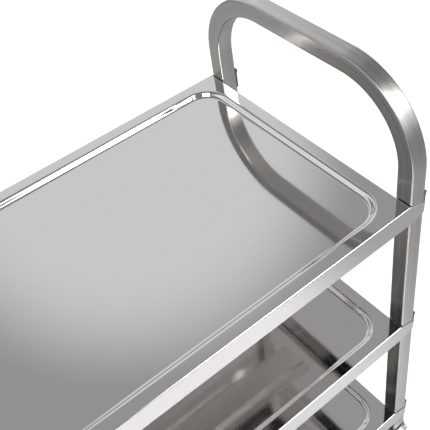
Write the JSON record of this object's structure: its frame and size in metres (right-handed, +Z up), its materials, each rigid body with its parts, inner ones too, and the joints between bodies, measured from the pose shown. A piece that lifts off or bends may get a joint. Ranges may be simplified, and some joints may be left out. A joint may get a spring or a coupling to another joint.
{
  "type": "food service trolley",
  "caption": "Tiered stainless steel service trolley with bent square-tube handles at both ends, pressed trays and swivel casters.",
  "frame": {"origin": "on the floor under the middle of the trolley", "axes": "+X towards the push end along the trays, +Y across to the left-hand side, +Z up"},
  "size_m": [0.7154, 0.4272, 0.855],
  "materials": {
    "frame_tube": "satin drawn tube, brushed along its length, slightly dulled by handling",
    "tray_sheet": "bright pressed stainless sheet, fine grain, soft mirror reflections",
    "stamped_steel": "plain mill-finish stainless stampings",
    "screw_steel": "bright turned stainless",
    "caster_zinc": "bright zinc plate",
    "plug_plastic": "black moulded nylon",
    "hub_plastic": "grey moulded polypropylene",
    "tyre_rubber": "dark grey non-marking rubber",
    "pedal_plastic": "black moulded nylon with ribs"
  },
  "bodies": {
    "root": {"push_end_frame": "frame_tube", "pull_end_frame": "frame_tube", "top_shelf": "tray_sheet", "top_shelf_stiffener": "stamped_steel", "top_push_left_clamp_plate": "stamped_steel", "top_push_left_clamp_screw": "screw_steel", "top_push_right_clamp_plate": "stamped_steel", "top_push_right_clamp_screw": "screw_steel", "top_pull_left_clamp_plate": "stamped_steel", "top_pull_left_clamp_screw": "screw_steel", "top_pull_right_clamp_plate": "stamped_steel", "top_pull_right_clamp_screw": "screw_steel", "middle_shelf": "tray_sheet", "middle_shelf_stiffener": "stamped_steel", "middle_push_left_clamp_plate": "stamped_steel", "middle_push_left_clamp_screw": "screw_steel", "middle_push_right_clamp_plate": "stamped_steel", "middle_push_right_clamp_screw": "screw_steel", "middle_pull_left_clamp_plate": "stamped_steel", "middle_pull_left_clamp_screw": "screw_steel", "middle_pull_right_clamp_plate": "stamped_steel", "middle_pull_right_clamp_screw": "screw_steel", "bottom_shelf": "tray_sheet", "bottom_shelf_stiffener": "stamped_steel", "bottom_push_left_clamp_plate": "stamped_steel", "bottom_push_left_clamp_screw": "screw_steel", "bottom_push_right_clamp_plate": "stamped_steel", "bottom_push_right_clamp_screw": "screw_steel", "bottom_pull_left_clamp_plate": "stamped_steel", "bottom_pull_left_clamp_screw": "screw_steel", "bottom_pull_right_clamp_plate": "stamped_steel", "bottom_pull_right_clamp_screw": "screw_steel", "push_left_leg_plug": "plug_plastic", "push_left_caster_stem": "caster_zinc", "push_right_leg_plug": "plug_plastic", "push_right_caster_stem": "caster_zinc", "pull_left_leg_plug": "plug_plastic", "pull_left_caster_stem": "caster_zinc", "pull_right_leg_plug": "plug_plastic", "pull_right_caster_stem": "caster_zinc"},
    "push_left_swivel": {"push_left_caster_fork": "caster_zinc", "push_left_axle_bolt": "caster_zinc", "push_left_pedal_pin": "caster_zinc"},
    "push_left_wheel": {"push_left_wheel_hub": "hub_plastic", "push_left_wheel_tyre": "tyre_rubber"},
    "push_left_pedal": {"push_left_brake_pedal": "pedal_plastic"},
    "push_right_swivel": {"push_right_caster_fork": "caster_zinc", "push_right_axle_bolt": "caster_zinc", "push_right_pedal_pin": "caster_zinc"},
    "push_right_wheel": {"push_right_wheel_hub": "hub_plastic", "push_right_wheel_tyre": "tyre_rubber"},
    "push_right_pedal": {"push_right_brake_pedal": "pedal_plastic"},
    "pull_left_swivel": {"pull_left_caster_fork": "caster_zinc", "pull_left_axle_bolt": "caster_zinc"},
    "pull_left_wheel": {"pull_left_wheel_hub": "hub_plastic", "pull_left_wheel_tyre": "tyre_rubber"},
    "pull_right_swivel": {"pull_right_caster_fork": "caster_zinc", "pull_right_axle_bolt": "caster_zinc"},
    "pull_right_wheel": {"pull_right_wheel_hub": "hub_plastic", "pull_right_wheel_tyre": "tyre_rubber"}
  },
  "joints": [
    {"name": "push_left_swivel_turn", "type": "hinge", "parent": "root", "child": "push_left_swivel", "pos_m": [0.3373, 0.1883, 0.1146], "axis": [0, 0, 1], "continuous": true},
    {"name": "push_left_wheel_spin", "type": "hinge", "parent": "push_left_swivel", "child": "push_left_wheel", "pos_m": [0.3033, 0.1883, 0.05], "axis": [0, 1, 0], "continuous": true},
    {"name": "push_left_brake_press", "type": "hinge", "parent": "push_left_swivel", "child": "push_left_pedal", "pos_m": [0.2733, 0.1883, 0.097], "axis": [0, -1, 0], "range_deg": [0, 12]},
    {"name": "push_right_swivel_turn", "type": "hinge", "parent": "root", "child": "push_right_swivel", "pos_m": [0.3373, -0.1883, 0.1146], "axis": [0, 0, 1], "continuous": true},
    {"name": "push_right_wheel_spin", "type": "hinge", "parent": "push_right_swivel", "child": "push_right_wheel", "pos_m": [0.3033, -0.1883, 0.05], "axis": [0, 1, 0], "continuous": true},
    {"name": "push_right_brake_press", "type": "hinge", "parent": "push_right_swivel", "child": "push_right_pedal", "pos_m": [0.2733, -0.1883, 0.097], "axis": [0, -1, 0], "range_deg": [0, 12]},
    {"name": "pull_left_swivel_turn", "type": "hinge", "parent": "root", "child": "pull_left_swivel", "pos_m": [-0.3373, 0.1883, 0.1146], "axis": [0, 0, 1], "continuous": true},
    {"name": "pull_left_wheel_spin", "type": "hinge", "parent": "pull_left_swivel", "child": "pull_left_wheel", "pos_m": [-0.3033, 0.1883, 0.05], "axis": [0, 1, 0], "continuous": true},
    {"name": "pull_right_swivel_turn", "type": "hinge", "parent": "root", "child": "pull_right_swivel", "pos_m": [-0.3373, -0.1883, 0.1146], "axis": [0, 0, 1], "continuous": true},
    {"name": "pull_right_wheel_spin", "type": "hinge", "parent": "pull_right_swivel", "child": "pull_right_wheel", "pos_m": [-0.3033, -0.1883, 0.05], "axis": [0, 1, 0], "continuous": true}
  ]
}
